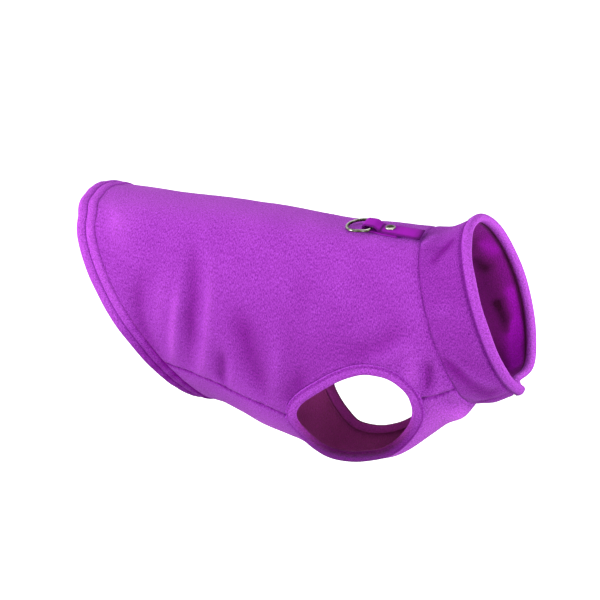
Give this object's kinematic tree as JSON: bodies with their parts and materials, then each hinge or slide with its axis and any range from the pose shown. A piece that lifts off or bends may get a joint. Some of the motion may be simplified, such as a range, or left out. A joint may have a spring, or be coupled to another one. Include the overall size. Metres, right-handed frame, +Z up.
{
  "type": "sleeveless fleece dog coat",
  "caption": "Pull-on sleeveless fleece dog coat with a stand-up collar, rolled edges, open leg holes and a leash ring on its back.",
  "frame": {"origin": "on the inside of the back panel at mid back, where the wearer's back carries the coat", "axes": "+X to the neck opening, +Y to the wearer's left, +Z up"},
  "size_m": [0.3949, 0.1298, 0.2306],
  "materials": {
    "fleece": "brushed purple fleece, short nap",
    "webbing": "smooth purple webbing",
    "antique_nickel": "antique nickel plate, polished"
  },
  "bodies": {
    "coat": {"back_panel": "fleece", "belly_panel": "fleece", "collar": "fleece", "collar_rim": "fleece", "hem_binding": "fleece", "armhole_binding_right": "fleece", "armhole_binding_left": "fleece", "leash_strap": "webbing", "rivet": "antique_nickel"},
    "ring": {"d_ring": "antique_nickel"}
  },
  "joints": [
    {"name": "ring_swing", "type": "hinge", "parent": "coat", "child": "ring", "pos_m": [0.1065, -0.0105, 0.00246], "axis": [0, 0.9926, 0.1215], "range_deg": [0, 165]}
  ]
}
